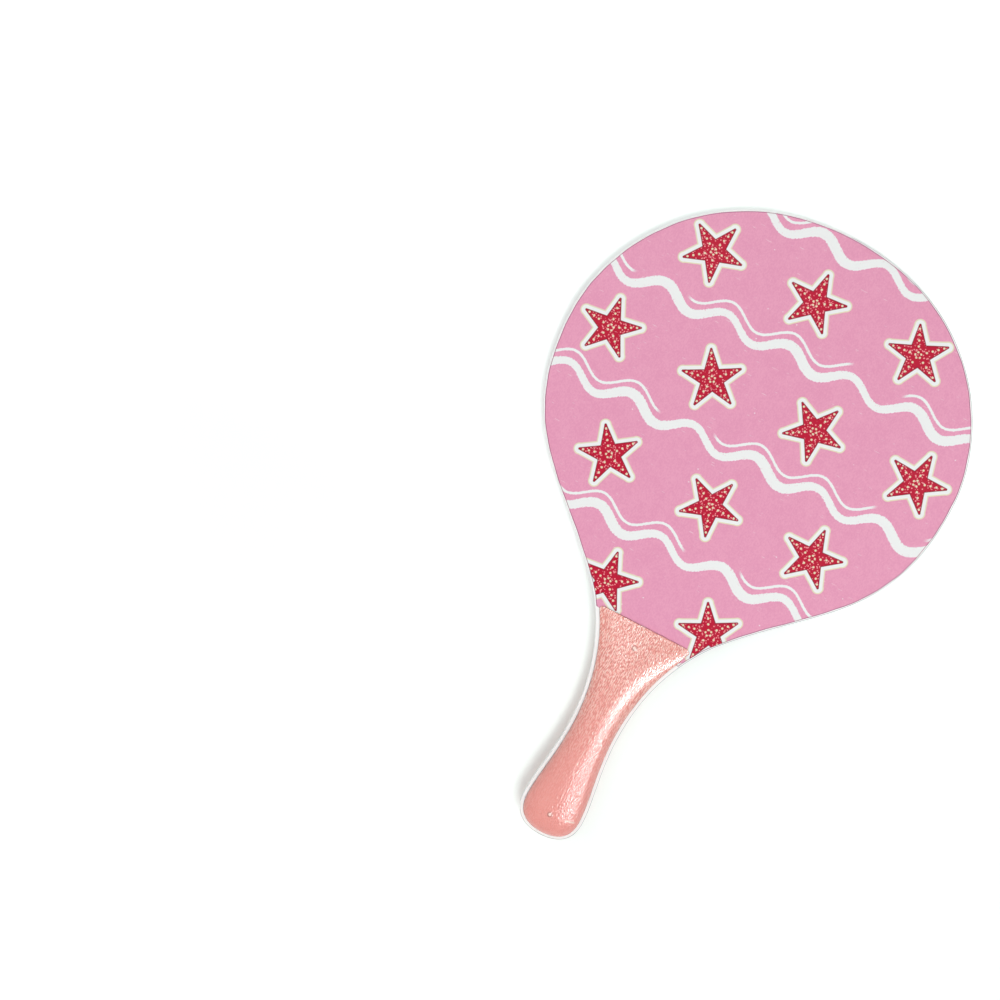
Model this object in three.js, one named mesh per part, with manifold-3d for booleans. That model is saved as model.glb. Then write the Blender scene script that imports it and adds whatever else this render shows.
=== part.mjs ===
// Wooden beach racket: a five-ply board cut as blade and handle in one outline,
// a printed sheet glued to each playing face, and a domed wooden cheek glued
// and nailed to each side of the handle.
//
// Millimetres. +Y runs from the butt to the tip of the blade, +X across it and
// +Z out of the front. The racket lies on its back, so the lowest line of the
// back cheek is at zero height, midway along the racket's length.

import * as THREE from 'three';
import { mergeVertices } from 'three/addons/utils/BufferGeometryUtils.js';
import Module from 'manifold-3d';

const wasm = await Module();
wasm.setup();

// Board, measured along the centre line from its butt end
const board = {
  length: 380,
  width: 241,
  widestFromButt: 271,
  neckWidth: 81.7,
  neckFromButt: 142.3,
  waistWidth: 28.6,
  waistFromButt: 66.7,
  swellWidth: 37.8,
  swellFromButt: 17,
  plyThickness: 1.4,
  edgeRadius: 0.6,
};

// How far the board's edge leans out from the centre line at the neck
const neckLean = THREE.MathUtils.degToRad(41.7);

// Reach of each Bezier handle, as a share of the way to the next station
const tipCrownShare = 0.686;
const tipSideShare = 0.42;
const flankSideShare = 0.475;
const flankNeckShare = 0.39;
const neckFlankShare = 0.17;
const neckWaistShare = 0.5;
const gripWaistShare = 0.41;
const gripSwellShare = 0.26;
const buttSideShare = 0.7;
const buttEndShare = 0.6;

// Printed sheet, tucked under the cheek on a slightly crooked cut
const sheet = {
  thickness: 0.3,
  edgeInset: 0.2,
  tuckLeft: 2.4,
  tuckRight: 11.6,
};

// Handle cheek: a dome over a low straight wall, running out thin at its top end
const cheek = {
  height: 10,
  wallHeight: 1.2,
  topHeight: 1.9,
  topFromButt: 132.5,
  taperLength: 56,
  buttRoundLength: 15,
  boardMargin: 2,
  topMargin: 2.5,
  cornerRadius: 1.6,
  sheetClearance: 0.1,
};

// Brad: a round-headed nail, driven through a cheek and a set depth into the board
const brad = {
  depthInBoard: 4.4,
  shankRadius: 0.65,
  headRadius: 1.3,
  headHeight: 0.7,
  headDome: 0.25,
  pointLength: 1.6,
  proud: 0.2,
  holeClearance: 0.3,
};

// Where the brads go: along from the cheek's top edge or its butt end, and
// across from the centre line. The back pair is set over, clear of the front.
const bradPlaces = {
  upperFromTop: 12.9,
  lowerFromEnd: 12.8,
  frontUpperAcross: -1.4,
  frontLowerAcross: -0.9,
  backUpperAcross: 3.4,
  backLowerAcross: 4,
};

// Fineness of the curved faces, as numbers of steps
const tipSteps = 22;
const flankSteps = 14;
const neckSteps = 13;
const gripSteps = 9;
const buttSteps = 11;
const edgeSteps = 3;
const cornerSteps = 3;
const domeSteps = 18;
const bradSides = 16;
const cutOverrun = 5;

// Heights of the faces, from the lowest line of the back cheek upwards
const plyNames = ['face_ply_back', 'cross_ply_back', 'core_ply', 'cross_ply_front', 'face_ply_front'];
const backFaceZ = cheek.height;
const frontFaceZ = backFaceZ + plyNames.length * board.plyThickness;
const buttY = -board.length / 2;
const tipY = board.length / 2;
const cheekTopY = buttY + cheek.topFromButt;
const cheekEndY = buttY + cheek.boardMargin;

// Paints and finishes
const finishes = {
  whitePaintedPly: { color: 0xf4f2ee, roughness: 0.55, metalness: 0 },
  printedSheet: { color: 0xe79cbb, roughness: 0.35, metalness: 0 },
  coralPaint: { color: 0xee9f97, roughness: 0.3, metalness: 0 },
  paintedSteel: { color: 0xefa79f, roughness: 0.35, metalness: 0.2 },
};

// Outline of the board

// The right half of the outline as five Bezier curves through six stations:
// butt end, butt swell, waist, neck, widest line of the blade, and tip.
function rightHalfCurves() {
  const at = (x, y) => new THREE.Vector2(x, y);
  const butt = at(0, buttY);
  const swell = at(board.swellWidth / 2, buttY + board.swellFromButt);
  const waist = at(board.waistWidth / 2, buttY + board.waistFromButt);
  const neck = at(board.neckWidth / 2, buttY + board.neckFromButt);
  const widest = at(board.width / 2, buttY + board.widestFromButt);
  const tip = at(0, tipY);
  const along = at(0, 1);
  const across = at(1, 0);
  const leaning = at(Math.sin(neckLean), Math.cos(neckLean));
  const span = (from, to, low, lowReach, high, highReach, steps) => ({
    steps,
    curve: new THREE.CubicBezierCurve(
      from,
      from.clone().addScaledVector(low, lowReach),
      to.clone().addScaledVector(high, -highReach),
      to,
    ),
  });
  const grip = waist.y - swell.y;
  const throat = neck.distanceTo(waist);
  const flank = widest.distanceTo(neck);
  const crown = tip.y - widest.y;
  return [
    span(butt, swell, across, swell.x * buttEndShare, along, board.swellFromButt * buttSideShare, buttSteps),
    span(swell, waist, along, grip * gripSwellShare, along, grip * gripWaistShare, gripSteps),
    span(waist, neck, along, throat * neckWaistShare, leaning, throat * neckFlankShare, neckSteps),
    span(neck, widest, leaning, flank * flankNeckShare, along, flank * flankSideShare, flankSteps),
    span(widest, tip, along, crown * tipSideShare, across, -widest.x * tipCrownShare, tipSteps),
  ];
}

// Points of the right half, butt to tip, moved inwards by an inset that may
// change along the racket.
function rightHalf(insetAt) {
  const points = [];
  for (const { curve, steps } of rightHalfCurves()) {
    for (let i = points.length === 0 ? 0 : 1; i <= steps; i += 1) {
      const point = curve.getPoint(i / steps);
      const edge = curve.getTangent(i / steps);
      const inward = new THREE.Vector2(-edge.y, edge.x);
      points.push(point.clone().addScaledVector(inward, insetAt(point.y)));
    }
  }
  points[0].x = 0;
  points[points.length - 1].x = 0;
  return points;
}

// The whole outline, counter-clockwise from the butt end.
function boardOutline(inset) {
  const right = rightHalf(() => inset);
  const left = right.slice(1, -1).reverse().map((point) => new THREE.Vector2(-point.x, point.y));
  return [...right, ...left];
}

// How much board shows beside the cheek: an even margin along the grip that
// widens, faster and faster, over the taper to the cheek's top corners.
function cheekMargin(y) {
  const run = THREE.MathUtils.clamp(1 - (cheekTopY - y) / cheek.taperLength, 0, 1);
  return cheek.boardMargin + (cheek.topMargin - cheek.boardMargin) * run * run;
}

// The cheek's half-widths, butt end to top edge: the board's outline less the
// margin, then a quarter round into the straight cut at the cheek's top.
function cheekStations() {
  const points = rightHalf(cheekMargin);
  const cornerY = cheekTopY - cheek.cornerRadius;
  const first = points.findIndex((point) => point.y > cornerY);
  const below = points[first - 1];
  const above = points[first];
  const corner = below.clone().lerp(above, (cornerY - below.y) / (above.y - below.y));
  const stations = points.slice(0, first);
  for (let i = 0; i <= cornerSteps; i += 1) {
    const turn = (i / cornerSteps) * (Math.PI / 2);
    stations.push(new THREE.Vector2(
      corner.x - cheek.cornerRadius * (1 - Math.cos(turn)),
      corner.y + cheek.cornerRadius * Math.sin(turn),
    ));
  }
  return stations;
}

// Solids and cuts

// A closed solid through matching rings of points, with its two end rings
// filled. `flatten` gives the plane that the end rings are drawn in.
function loft(rings, flatten) {
  const count = rings[0].length;
  const positions = rings.flat().flatMap((point) => [point.x, point.y, point.z]);
  const triangles = [];
  for (let r = 0; r < rings.length - 1; r += 1) {
    for (let i = 0; i < count; i += 1) {
      const next = (i + 1) % count;
      const [a, b] = [r * count + i, r * count + next];
      const [c, d] = [a + count, b + count];
      triangles.push([a, b, d], [a, d, c]);
    }
  }
  const last = (rings.length - 1) * count;
  for (const [a, b, c] of THREE.ShapeUtils.triangulateShape(rings[0].map(flatten), [])) {
    triangles.push([c, b, a]);
  }
  for (const [a, b, c] of THREE.ShapeUtils.triangulateShape(rings[rings.length - 1].map(flatten), [])) {
    triangles.push([last + a, last + b, last + c]);
  }
  const geometry = new THREE.BufferGeometry();
  geometry.setAttribute('position', new THREE.Float32BufferAttribute(positions, 3));
  geometry.setIndex(triangles.flat());
  return geometry;
}

// A three.js geometry as a manifold solid, with shared corners merged and the
// triangles that a pole or a closed end leaves flat taken out.
function toSolid(geometry) {
  const bare = geometry.clone();
  bare.deleteAttribute('normal');
  bare.deleteAttribute('uv');
  const merged = mergeVertices(bare);
  const index = merged.index.array;
  const kept = [];
  for (let i = 0; i < index.length; i += 3) {
    const [a, b, c] = [index[i], index[i + 1], index[i + 2]];
    if (a !== b && b !== c && c !== a) kept.push(a, b, c);
  }
  return new wasm.Manifold(new wasm.Mesh({
    numProp: 3,
    vertProperties: new Float32Array(merged.attributes.position.array),
    triVerts: new Uint32Array(kept),
  }));
}

// A manifold solid back as a three.js geometry.
function toGeometry(solid) {
  const mesh = solid.getMesh();
  const geometry = new THREE.BufferGeometry();
  geometry.setAttribute('position', new THREE.Float32BufferAttribute(mesh.vertProperties, mesh.numProp));
  geometry.setIndex(new THREE.Uint32BufferAttribute(mesh.triVerts, 1));
  geometry.computeVertexNormals();
  return geometry;
}

function cut(geometry, tools) {
  return toGeometry(tools.reduce((solid, tool) => solid.subtract(tool), toSolid(geometry)));
}

// Plies

// A ply as a stack of outlines. An outer ply's outside edge is eased by a
// quarter round, whose rings lie on a circle of the edge radius.
function plyGeometry(lowZ, easedSide) {
  const highZ = lowZ + board.plyThickness;
  const ring = (inset, z) => boardOutline(inset).map((point) => new THREE.Vector3(point.x, point.y, z));
  const eased = [];
  for (let i = 0; i <= edgeSteps; i += 1) {
    const turn = (i / edgeSteps) * (Math.PI / 2);
    eased.push({
      inset: board.edgeRadius * (1 - Math.cos(turn)),
      fromFace: board.edgeRadius * (1 - Math.sin(turn)),
    });
  }
  let rings = [ring(0, lowZ), ring(0, highZ)];
  if (easedSide === 'front') {
    rings = [ring(0, lowZ), ...eased.map(({ inset, fromFace }) => ring(inset, highZ - fromFace))];
  }
  if (easedSide === 'back') {
    eased.reverse();
    rings = [...eased.map(({ inset, fromFace }) => ring(inset, lowZ + fromFace)), ring(0, highZ)];
  }
  return loft(rings, (point) => new THREE.Vector2(point.x, point.y));
}

// Printed sheets

// A sheet over the blade, cut off under the cheek by a slanting line. It lies
// inside the flat of the ply that its eased edge leaves.
function sheetGeometry(lowZ) {
  const shape = new THREE.Shape(boardOutline(board.edgeRadius + sheet.edgeInset));
  const blank = new THREE.ExtrudeGeometry(shape, { depth: sheet.thickness, bevelEnabled: false });
  blank.translate(0, 0, lowZ);
  const reach = board.width;
  const slope = (sheet.tuckLeft - sheet.tuckRight) / stationWidth(cheekTopY);
  const middleY = cheekTopY - (sheet.tuckLeft + sheet.tuckRight) / 2;
  const waste = new THREE.Shape([
    new THREE.Vector2(-reach, buttY - cutOverrun),
    new THREE.Vector2(reach, buttY - cutOverrun),
    new THREE.Vector2(reach, middleY + slope * reach),
    new THREE.Vector2(-reach, middleY - slope * reach),
  ]);
  const tool = new THREE.ExtrudeGeometry(waste, {
    depth: sheet.thickness + 2 * cutOverrun,
    bevelEnabled: false,
  });
  tool.translate(0, 0, lowZ - cutOverrun);
  return cut(blank, [toSolid(tool)]);
}

// Handle cheeks

// The cheek's full width at a place along the handle.
function stationWidth(y) {
  const stations = cheekStations();
  const next = stations.findIndex((station) => station.y >= y);
  if (next <= 0) return 2 * stations[Math.max(next, 0)].x;
  const [low, high] = [stations[next - 1], stations[next]];
  return 2 * THREE.MathUtils.mapLinear(y, low.y, high.y, low.x, high.x);
}

// Rise of the dome over the wall, along the centre line: a quarter ellipse at
// the butt, level along the grip, and a quarter sine down to the top edge.
function crownRise(y) {
  const full = cheek.height - cheek.wallHeight;
  const thin = cheek.topHeight - cheek.wallHeight;
  const fromEnd = Math.max(y - cheekEndY, 0);
  if (fromEnd < cheek.buttRoundLength) {
    const short = 1 - fromEnd / cheek.buttRoundLength;
    return full * Math.sqrt(Math.max(1 - short * short, 0));
  }
  const fromTop = Math.max(cheekTopY - y, 0);
  const run = Math.min(fromTop / cheek.taperLength, 1);
  return thin + (full - thin) * Math.sin(run * Math.PI / 2);
}

// Height of the dome over the board at any place on the cheek.
function domeHeight(x, y) {
  const across = Math.min(Math.abs(x) / (stationWidth(y) / 2), 1);
  return cheek.wallHeight + crownRise(y) * Math.sqrt(1 - across * across);
}

// The cheek, flat side down: a loft along the handle through half-ellipse
// sections that stand on a low wall.
function cheekBlank() {
  const rings = cheekStations().map(({ x, y }) => {
    const ring = [new THREE.Vector3(-x, y, 0), new THREE.Vector3(x, y, 0)];
    for (let i = 0; i <= domeSteps; i += 1) {
      const turn = (i / domeSteps) * Math.PI;
      ring.push(new THREE.Vector3(x * Math.cos(turn), y, cheek.wallHeight + crownRise(y) * Math.sin(turn)));
    }
    return ring;
  });
  return loft(rings.reverse(), (point) => new THREE.Vector2(point.x, point.z));
}

// The shallow step under the cheek's top end that the tucked sheet lies in.
function sheetRelief() {
  const depth = sheet.thickness + cheek.sheetClearance;
  const drop = Math.max(sheet.tuckLeft, sheet.tuckRight) + cheek.sheetClearance;
  const length = drop + cutOverrun;
  const width = board.width;
  const block = new THREE.BoxGeometry(width, length, depth + cutOverrun);
  block.translate(0, cheekTopY - drop + length / 2, depth - (depth + cutOverrun) / 2);
  return toSolid(block);
}

// Brads

// A brad standing on its point, head up, as a turned profile. `grow` makes the
// pocket that it is driven into, which runs on out of the cheek past the head.
function bradGeometry(length, grow) {
  const shank = brad.shankRadius + grow;
  const head = brad.headRadius + grow;
  const underHead = length - brad.headHeight - grow;
  const top = length + (grow > 0 ? cutOverrun : 0);
  const profile = [
    new THREE.Vector2(0, -grow),
    new THREE.Vector2(shank, brad.pointLength - grow),
    new THREE.Vector2(shank, underHead),
    new THREE.Vector2(head, underHead),
    new THREE.Vector2(head, top - brad.headDome),
    new THREE.Vector2(0, top),
  ];
  const geometry = new THREE.LatheGeometry(profile, bradSides);
  geometry.rotateX(Math.PI / 2);
  return geometry;
}

// Each brad's place and length, which reaches from the set depth in the board
// to just proud of the dome where it goes in.
function bradList() {
  const upperY = cheekTopY - bradPlaces.upperFromTop;
  const lowerY = cheekEndY + bradPlaces.lowerFromEnd;
  return [
    { name: 'front_upper_brad', side: 'front', x: bradPlaces.frontUpperAcross, y: upperY },
    { name: 'front_lower_brad', side: 'front', x: bradPlaces.frontLowerAcross, y: lowerY },
    { name: 'back_upper_brad', side: 'back', x: bradPlaces.backUpperAcross, y: upperY },
    { name: 'back_lower_brad', side: 'back', x: bradPlaces.backLowerAcross, y: lowerY },
  ].map((place) => ({ ...place, length: brad.depthInBoard + domeHeight(place.x, place.y) + brad.proud }));
}

// Puts a geometry that is modelled over the board's front face onto its side:
// as it is for the front, and turned over about the racket's length for the back.
function toSide(geometry, side) {
  if (side === 'back') geometry.rotateY(Math.PI);
  geometry.translate(0, 0, side === 'front' ? frontFaceZ : backFaceZ);
  return geometry;
}

function placedBrad(place, grow) {
  const geometry = bradGeometry(place.length, grow);
  const across = place.side === 'back' ? -place.x : place.x;
  geometry.translate(across, place.y, -brad.depthInBoard);
  return toSide(geometry, place.side);
}

// Assembly

const brads = bradList();
const pockets = brads.map((place) => ({ ...place, tool: toSolid(placedBrad(place, brad.holeClearance)) }));

function makeMesh(name, geometry, finish) {
  const mesh = new THREE.Mesh(geometry, new THREE.MeshStandardMaterial(finish));
  mesh.name = name;
  return mesh;
}

function makePly(name, level) {
  const easedSides = { face_ply_back: 'back', face_ply_front: 'front' };
  const geometry = plyGeometry(backFaceZ + level * board.plyThickness, easedSides[name]);
  return makeMesh(name, cut(geometry, pockets.map(({ tool }) => tool)), finishes.whitePaintedPly);
}

function makeCheek(side) {
  const relieved = cut(cheekBlank(), [sheetRelief()]);
  const tools = pockets.filter((pocket) => pocket.side === side).map(({ tool }) => tool);
  return makeMesh(`handle_cheek_${side}`, cut(toSide(relieved, side), tools), finishes.coralPaint);
}

function makeBrad(place) {
  return makeMesh(place.name, toGeometry(toSolid(placedBrad(place, 0))), finishes.paintedSteel);
}

const racket = new THREE.Group();
racket.add(...plyNames.map(makePly));
racket.add(makeMesh('print_sheet_front', sheetGeometry(frontFaceZ), finishes.printedSheet));
racket.add(makeMesh('print_sheet_back', sheetGeometry(backFaceZ - sheet.thickness), finishes.printedSheet));
racket.add(makeCheek('front'), makeCheek('back'));
racket.add(...brads.map(makeBrad));

export default racket;
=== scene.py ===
"""Looks of a wooden beach racket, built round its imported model.

The racket lies on its back with the butt of its handle at -Y, the tip of its blade
at +Y and its front face up, in metres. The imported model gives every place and
overall size. This script makes the smooth, finished surfaces that stand for its
pieces, paints them, and sets up the studio that they are photographed in.
"""

import logging
import math
from collections.abc import Callable, Mapping
from dataclasses import dataclass, field
from enum import Enum
from functools import cached_property, reduce

import bmesh
import bpy
import numpy as np
from mathutils import Euler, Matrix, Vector


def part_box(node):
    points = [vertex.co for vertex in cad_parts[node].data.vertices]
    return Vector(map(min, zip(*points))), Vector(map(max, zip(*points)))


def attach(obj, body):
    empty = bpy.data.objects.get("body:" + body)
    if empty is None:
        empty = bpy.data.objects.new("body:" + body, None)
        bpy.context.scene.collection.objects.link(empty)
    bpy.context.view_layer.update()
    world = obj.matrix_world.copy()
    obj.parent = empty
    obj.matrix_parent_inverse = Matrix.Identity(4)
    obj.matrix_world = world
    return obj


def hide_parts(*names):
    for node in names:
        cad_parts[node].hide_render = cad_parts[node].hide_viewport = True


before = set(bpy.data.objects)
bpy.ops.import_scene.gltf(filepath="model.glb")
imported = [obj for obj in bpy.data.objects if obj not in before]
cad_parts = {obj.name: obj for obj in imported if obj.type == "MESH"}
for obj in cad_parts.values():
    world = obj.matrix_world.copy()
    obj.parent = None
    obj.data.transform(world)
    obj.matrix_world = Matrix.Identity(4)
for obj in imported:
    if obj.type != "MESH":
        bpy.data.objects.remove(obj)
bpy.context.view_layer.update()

LOG = logging.getLogger("racket")
MM = 0.001
BODY = "root"
SAME_POINT = 1e-7
CREASE_ANGLE = math.radians(32.0)
EDGE_STEPS = 6

Array = np.ndarray
Span = tuple[float, float]


# Enums

class Side(Enum):
    """A playing side of the racket; the value is the way its outside faces along Z."""

    FRONT = 1
    BACK = -1

    @property
    def label(self) -> str:
        """The side's name as the node names write it."""
        return self.name.lower()

    def ends(self, node: str) -> tuple[float, float]:
        """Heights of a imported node's end towards the board and of its outer end."""
        low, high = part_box(node)
        return (low.z, high.z) if self is Side.FRONT else (high.z, low.z)

    def middle(self, node: str) -> tuple[float, float]:
        """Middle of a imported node, by x and y in this side's own coordinates."""
        low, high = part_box(node)
        return (low.x + high.x) / 2.0 * self.value, (low.y + high.y) / 2.0

    def place(self, points: Array, face_z: float) -> Array:
        """Puts points that are modelled over a face onto this side of the board.

        The front keeps x and adds z to the face's height. The back turns over about
        the racket's length: x changes sign and z is taken from the face's height.

        Args:
            points: Points over the face, the last axis being x, y and height.
            face_z: Height of the board's face on this side.

        Returns:
            The points in the racket's frame.
        """
        placed = np.array(points, float)
        placed[..., 0] *= self.value
        placed[..., 2] = face_z + self.value * placed[..., 2]
        return placed


class Slot(Enum):
    """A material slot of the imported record."""

    WHITE_PLY = "white_painted_plywood"
    PRINT = "printed_sheet"
    CORAL = "coral_painted_wood"
    BRAD = "painted_steel_brad"


# Shader kit

def tint(code: str) -> tuple[float, float, float, float]:
    """Turns a colour as a screen shows it into the linear colour that a shader takes.

    Each channel c is c / 12.92 up to 0.04045, and ((c + 0.055) / 1.055) ^ 2.4 above.

    Args:
        code: Six hexadecimal digits, red, green and blue.

    Returns:
        Linear red, green, blue and an alpha of one.
    """
    shares = [int(code[i:i + 2], 16) / 255.0 for i in (0, 2, 4)]
    linear = [c / 12.92 if c <= 0.04045 else ((c + 0.055) / 1.055) ** 2.4 for c in shares]
    return (linear[0], linear[1], linear[2], 1.0)


class Channel:
    """A number that varies over a surface, with Python's arithmetic."""

    def __init__(self, graph: "Graph", socket: bpy.types.NodeSocket) -> None:
        """Wraps an output socket of the graph."""
        self.graph = graph
        self.socket = socket

    def _math(self, operation: str, *values: "Channel | float") -> "Channel":
        """Adds a Math node and wraps its output."""
        node = self.graph.node("ShaderNodeMath", {"operation": operation}, dict(enumerate(values)))
        return Channel(self.graph, node.outputs[0])

    def __add__(self, other: "Channel | float") -> "Channel":
        """The sum."""
        return self._math("ADD", self, other)

    __radd__ = __add__

    def __sub__(self, other: "Channel | float") -> "Channel":
        """The difference."""
        return self._math("SUBTRACT", self, other)

    def __rsub__(self, other: float) -> "Channel":
        """The difference, with this channel taken away."""
        return self._math("SUBTRACT", other, self)

    def __mul__(self, other: "Channel | float") -> "Channel":
        """The product."""
        return self._math("MULTIPLY", self, other)

    __rmul__ = __mul__

    def __truediv__(self, other: "Channel | float") -> "Channel":
        """The quotient."""
        return self._math("DIVIDE", self, other)

    def __rtruediv__(self, other: float) -> "Channel":
        """The quotient, with this channel below the line."""
        return self._math("DIVIDE", other, self)

    def __mod__(self, other: float) -> "Channel":
        """What is left over a whole number of steps, never negative."""
        return self._math("FLOORED_MODULO", self, other)

    def __abs__(self) -> "Channel":
        """The size without its sign."""
        return self._math("ABSOLUTE", self)

    def floor(self) -> "Channel":
        """The whole number below."""
        return self._math("FLOOR", self)

    def sine(self) -> "Channel":
        """The sine of an angle in radians."""
        return self._math("SINE", self)

    def cosine(self) -> "Channel":
        """The cosine of an angle in radians."""
        return self._math("COSINE", self)

    def angle_over(self, across: "Channel") -> "Channel":
        """The angle of the point (across, self), in radians."""
        return self._math("ARCTAN2", self, across)

    def root(self) -> "Channel":
        """The square root."""
        return self._math("SQRT", self)

    def length_with(self, other: "Channel") -> "Channel":
        """The length of the vector (self, other), root of the sum of squares."""
        return (self * self + other * other).root()

    def least(self, other: "Channel | float") -> "Channel":
        """The smaller of two."""
        return self._math("MINIMUM", self, other)

    def most(self, other: "Channel | float") -> "Channel":
        """The larger of two."""
        return self._math("MAXIMUM", self, other)

    def wrapped(self, half: float) -> "Channel":
        """The value brought between -half and half by whole turns of twice half."""
        return self._math("WRAP", self, half, -half)

    def between(self, low: float, high: float) -> "Channel":
        """A share from 0 to 1 turned into a value from low to high."""
        return self * (high - low) + low

    def mixed(self, other: "Channel", share: float) -> "Channel":
        """This channel and another one, which takes the given share."""
        return self * (1.0 - share) + other * share

    def ramp(self, low: float, high: float) -> "Channel":
        """Smooth step: 0 up to low, 1 from high on, and 3t^2 - 2t^3 between.

        Args:
            low: Value at which the ramp leaves 0.
            high: Value at which it reaches 1, which may lie below low.

        Returns:
            The ramp.
        """
        if high < low:
            return 1.0 - self.ramp(high, low)
        settings = {"interpolation_type": "SMOOTHSTEP"}
        node = self.graph.node("ShaderNodeMapRange", settings, {0: self, 1: low, 2: high})
        return Channel(self.graph, node.outputs[0])


@dataclass(frozen=True)
class Noise:
    """Soft noise, from 0 to 1 about a middle of 0.5.

    It has a size along x, y and z in millimetres, a number of finer layers, and a
    shift in thousands of its sizes, so that two noises of a size differ.
    """

    size_mm: tuple[float, float, float]
    layers: float = 2.0
    shift: float = 0.0


class Graph:
    """The node graph of a material or of the world."""

    def __init__(self, owner: bpy.types.Material | bpy.types.World) -> None:
        """Empties the owner's graph.

        Args:
            owner: The material or world that the graph belongs to.
        """
        owner.use_nodes = True
        self.owner = owner
        self.tree = owner.node_tree
        self.tree.nodes.clear()

    def node(
        self,
        kind: str,
        settings: Mapping[str, object] | None = None,
        inputs: Mapping[int | str, object] | None = None,
    ) -> bpy.types.Node:
        """Adds a node.

        Args:
            kind: Blender's name of the node type.
            settings: The node's own settings, which are set first.
            inputs: Values, channels or sockets for its input sockets, by name or number.

        Returns:
            The new node.
        """
        made = self.tree.nodes.new(kind)
        for name, value in (settings or {}).items():
            setattr(made, name, value)
        for key, value in (inputs or {}).items():
            socket = made.inputs[key]
            if isinstance(value, Channel):
                self.tree.links.new(value.socket, socket)
            elif isinstance(value, bpy.types.NodeSocket):
                self.tree.links.new(value, socket)
            else:
                socket.default_value = value
        return made

    def place(self) -> bpy.types.NodeSocket:
        """The place on the piece, in its own coordinates, in metres."""
        return self.node("ShaderNodeTexCoord").outputs["Object"]

    @cached_property
    def xy_mm(self) -> tuple[Channel, Channel]:
        """The place on the piece across and along, in millimetres."""
        parts = self.node("ShaderNodeSeparateXYZ", None, {0: self.place()}).outputs
        return Channel(self, parts["X"]) / MM, Channel(self, parts["Y"]) / MM

    def attribute(self, name: str) -> Channel:
        """A number stored on the mesh's points."""
        made = self.node("ShaderNodeAttribute", {"attribute_name": name})
        return Channel(self, made.outputs["Fac"])

    def rays(self, *kinds: str) -> Channel:
        """1 for a ray of one of the kinds, in Light Path's words, and 0 for any other.

        Args:
            kinds: The kinds of ray.

        Returns:
            The share of such rays.
        """
        made = self.node("ShaderNodeLightPath")
        shares = [Channel(self, made.outputs[f"Is {kind} Ray"]) for kind in kinds]
        return reduce(Channel.most, shares)

    def noise(self, noise: Noise) -> Channel:
        """Lays noise over the piece.

        Args:
            noise: Size, layers and shift of the noise.

        Returns:
            The noise.
        """
        moved = self.node("ShaderNodeMapping", None, {
            "Vector": self.place(),
            "Location": (noise.shift / MM, noise.shift / MM, noise.shift / MM),
            "Scale": tuple(1.0 / (size * MM) for size in noise.size_mm),
        })
        made = self.node("ShaderNodeTexNoise", None, {
            "Vector": moved.outputs[0],
            "Scale": 1.0,
            "Detail": noise.layers,
        })
        return Channel(self, made.outputs[0])

    def cells(self, pitch_mm: float) -> Channel:
        """Distance to the nearest of scattered points, in shares of their mean pitch."""
        inputs = {"Vector": self.place(), "Scale": 1.0 / (pitch_mm * MM)}
        return Channel(self, self.node("ShaderNodeTexVoronoi", None, inputs).outputs["Distance"])

    def coats(
        self, ground: str | bpy.types.NodeSocket, *coats: tuple[Channel, str]
    ) -> bpy.types.NodeSocket:
        """Lays coats of colour over a ground, one after the other.

        Args:
            ground: Colour under the coats, as a code or a socket.
            coats: Each coat's share, from 0 to 1 over the surface, and its colour's code.

        Returns:
            The colour on top.
        """
        colour = tint(ground) if isinstance(ground, str) else ground
        for share, code in coats:
            inputs = {0: share, 6: colour, 7: tint(code)}
            colour = self.node("ShaderNodeMix", {"data_type": "RGBA"}, inputs).outputs[2]
        return colour

    def bump(self, height: Channel, relief_mm: float) -> bpy.types.NodeSocket:
        """A normal bent by a height that is given in shares of a relief in millimetres."""
        inputs = {"Strength": 1.0, "Distance": relief_mm * MM, "Height": height}
        return self.node("ShaderNodeBump", None, inputs).outputs[0]

    def paint(self, inputs: Mapping[str, object]) -> bpy.types.Material:
        """Ends the graph in a Principled shader and gives the finished material."""
        return self.finish(self.node("ShaderNodeBsdfPrincipled", None, inputs))

    def finish(self, shader: bpy.types.Node) -> bpy.types.Material | bpy.types.World:
        """Ends the graph in a shader.

        Args:
            shader: The shader's node.

        Returns:
            The finished material or world.
        """
        ends = "World" if isinstance(self.owner, bpy.types.World) else "Material"
        self.node(f"ShaderNodeOutput{ends}", None, {"Surface": shader.outputs[0]})
        return self.owner


# Finishes

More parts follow.
